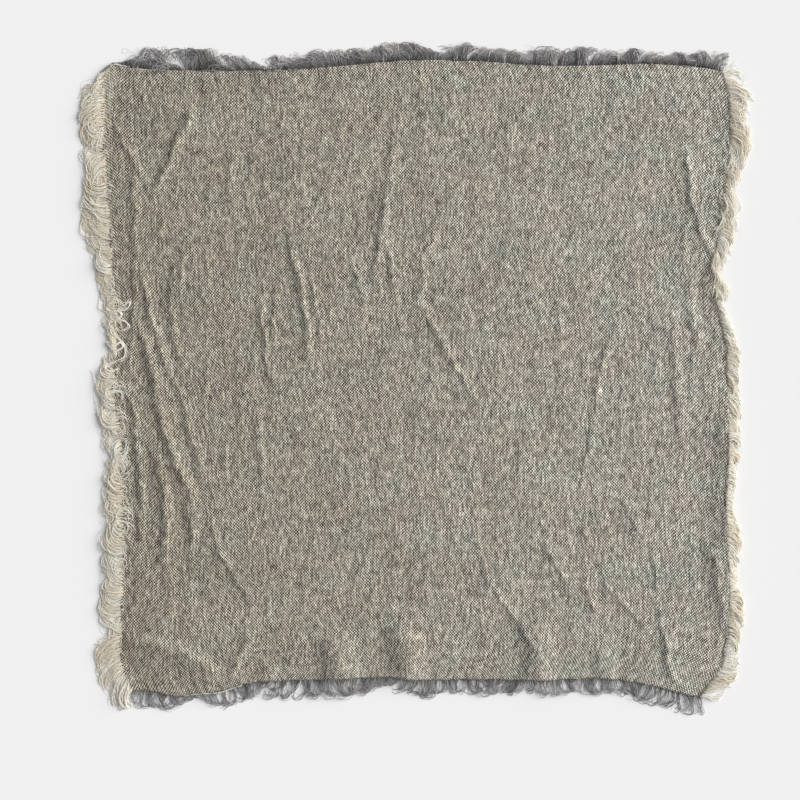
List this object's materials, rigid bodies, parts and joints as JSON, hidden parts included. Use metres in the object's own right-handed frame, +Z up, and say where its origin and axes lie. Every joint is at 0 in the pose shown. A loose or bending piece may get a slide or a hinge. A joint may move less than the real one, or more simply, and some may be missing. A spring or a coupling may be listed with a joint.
{
  "type": "fringed cloth napkin",
  "caption": "Square napkin of plain-woven grey and cream linen, lying open and softly creased, its edges frayed to a fringe on every side; wipes hands and dresses a table.",
  "frame": {"origin": "middle of the napkin's outline, on the surface it lies on", "axes": "+X along the weft to the right side, +Y along the warp to the top side, +Z up from the surface"},
  "size_m": [0.4848, 0.4874, 0.0049],
  "materials": {
    "woven_linen": "matt, plain weave of cream weft over dark grey warp",
    "cream_yarn": "matt, undyed linen yarn",
    "grey_yarn": "matt, grey-dyed linen yarn"
  },
  "bodies": {
    "root": {"woven_cloth": "woven_linen", "fringe_top": "grey_yarn", "fringe_bottom": "grey_yarn", "fringe_left": "cream_yarn", "fringe_right": "cream_yarn"}
  },
  "joints": []
}
